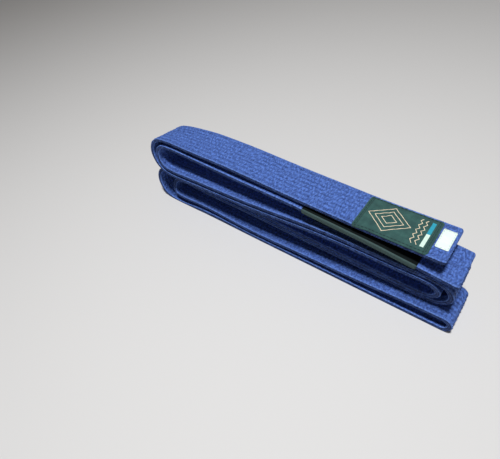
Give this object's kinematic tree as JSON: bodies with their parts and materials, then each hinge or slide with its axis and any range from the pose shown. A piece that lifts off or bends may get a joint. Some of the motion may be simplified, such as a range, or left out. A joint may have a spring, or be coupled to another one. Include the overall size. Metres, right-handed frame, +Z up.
{
  "type": "martial arts belt",
  "caption": "Quilted cotton martial arts belt, doubled and folded into a flat stack, with woven label, size tag and rank bar; its folds and loose ends open.",
  "frame": {"origin": "on the table under the label end's tip, on the top ply's centre line", "axes": "+X towards the two loose ends, +Y towards the back edge, +Z up off the table"},
  "size_m": [0.3618, 0.0504, 0.0918],
  "materials": {
    "belt_cotton": "matt woven cotton, quilted in rows",
    "core_fleece": "stiff needled core layer",
    "belt_thread": "twisted sewing thread",
    "label_weave": "damask woven patch",
    "label_thread": "twisted sewing thread",
    "size_satin": "smooth satin tape",
    "size_thread": "twisted sewing thread",
    "bar_cotton": "matt black woven cotton",
    "bar_thread": "twisted sewing thread"
  },
  "bodies": {
    "strand_4": {"strand_4_casing": "belt_cotton", "strand_4_core_outer": "core_fleece", "strand_4_core_inner": "core_fleece", "strand_4_stitching": "belt_thread", "half_loop_casing": "belt_cotton", "half_loop_core_outer": "core_fleece", "half_loop_core_inner": "core_fleece", "half_loop_stitching": "belt_thread", "fold_3_casing": "belt_cotton", "fold_3_core_outer": "core_fleece", "fold_3_core_inner": "core_fleece", "fold_3_stitching": "belt_thread"},
    "strand_3": {"strand_3_casing": "belt_cotton", "strand_3_core_outer": "core_fleece", "strand_3_core_inner": "core_fleece", "strand_3_stitching": "belt_thread", "fold_2_casing": "belt_cotton", "fold_2_core_outer": "core_fleece", "fold_2_core_inner": "core_fleece", "fold_2_stitching": "belt_thread"},
    "strand_2": {"strand_2_casing": "belt_cotton", "strand_2_core_outer": "core_fleece", "strand_2_core_inner": "core_fleece", "strand_2_stitching": "belt_thread", "fold_1_casing": "belt_cotton", "fold_1_core_outer": "core_fleece", "fold_1_core_inner": "core_fleece", "fold_1_stitching": "belt_thread"},
    "strand_1": {"strand_1_casing": "belt_cotton", "strand_1_core_outer": "core_fleece", "strand_1_core_inner": "core_fleece", "strand_1_stitching": "belt_thread"},
    "label_end": {"label_tail_casing": "belt_cotton", "label_tail_core_outer": "core_fleece", "label_tail_core_inner": "core_fleece", "label_tail_stitching": "belt_thread", "brand_label": "label_weave", "brand_label_stitching": "label_thread", "size_label": "size_satin", "size_label_stitching": "size_thread"},
    "rank_end": {"rank_tail_casing": "belt_cotton", "rank_tail_core_outer": "core_fleece", "rank_tail_core_inner": "core_fleece", "rank_tail_stitching": "belt_thread", "rank_bar": "bar_cotton", "rank_bar_stitching": "bar_thread"}
  },
  "joints": [
    {"name": "fold_3_open", "type": "hinge", "parent": "strand_4", "child": "strand_3", "pos_m": [-0.322, 0.002, 0.019], "axis": [0, -1, 0], "range_deg": [0, 90], "deforming": ["fold_3_casing", "fold_3_core_outer", "fold_3_core_inner", "fold_3_stitching"]},
    {"name": "fold_2_open", "type": "hinge", "parent": "strand_3", "child": "strand_2", "pos_m": [0.01, 0.002, 0.0407], "axis": [0, 1, 0], "range_deg": [0, 110], "deforming": ["fold_2_casing", "fold_2_core_outer", "fold_2_core_inner", "fold_2_stitching"]},
    {"name": "fold_1_open", "type": "hinge", "parent": "strand_2", "child": "strand_1", "pos_m": [-0.3205, -0.002, 0.0675], "axis": [0, -1, 0], "range_deg": [0, 175], "deforming": ["fold_1_casing", "fold_1_core_outer", "fold_1_core_inner", "fold_1_stitching"]},
    {"name": "label_end_lift", "type": "hinge", "parent": "strand_1", "child": "label_end", "pos_m": [-0.135, 0, 0.0857], "axis": [0, -1, 0], "range_deg": [0, 70]},
    {"name": "rank_end_lift", "type": "hinge", "parent": "strand_1", "child": "rank_end", "pos_m": [-0.135, -0.002, 0.0786], "axis": [0, -1, 0], "range_deg": [0, 42]}
  ],
  "couplings": [
    {"joint": "rank_end_lift", "follows": "label_end_lift", "ratio": 0.6}
  ]
}
